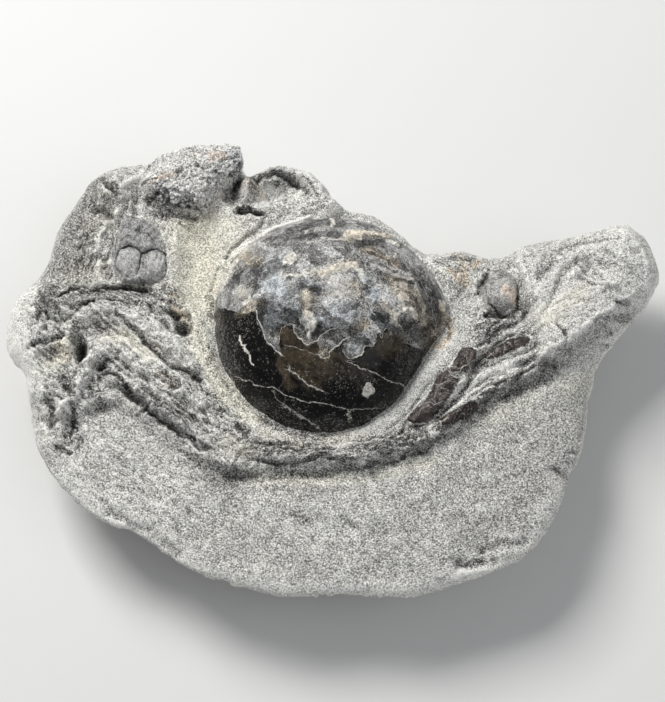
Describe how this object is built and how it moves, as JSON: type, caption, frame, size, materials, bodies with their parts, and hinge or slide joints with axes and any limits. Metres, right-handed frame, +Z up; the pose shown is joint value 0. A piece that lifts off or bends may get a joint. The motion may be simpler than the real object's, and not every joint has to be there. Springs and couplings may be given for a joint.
{
  "type": "fossil crab",
  "caption": "Fossil crab lying in an irregular stone nodule: domed dark carapace, folded left claw and arm, walking legs let into the grey matrix, flat base to rest on.",
  "frame": {"origin": "on the flat base that the nodule rests on, below the carapace", "axes": "+Z up through the carapace; +X towards the crab's right side and the nodule's long arm; +Y towards the front of the crab"},
  "size_m": [0.1345, 0.0985, 0.036],
  "materials": {
    "stone": "matt, fine grained, broken",
    "black_shell": "polished fossil shell",
    "brown_shell": "satin fossil shell",
    "pale_leg": "matt",
    "grey_plate": "matt to satin",
    "crystalline_claw": "rough, crystalline"
  },
  "bodies": {
    "root": {"stone_matrix": "stone", "carapace": "black_shell", "left_claw_hand": "crystalline_claw", "left_claw_arm": "grey_plate", "left_leg_1": "pale_leg", "left_leg_2": "pale_leg", "left_leg_3": "grey_plate", "right_leg_1": "brown_shell", "right_leg_2": "brown_shell", "right_leg_3": "brown_shell", "right_claw_stump": "grey_plate", "hind_leg": "grey_plate"}
  },
  "joints": []
}
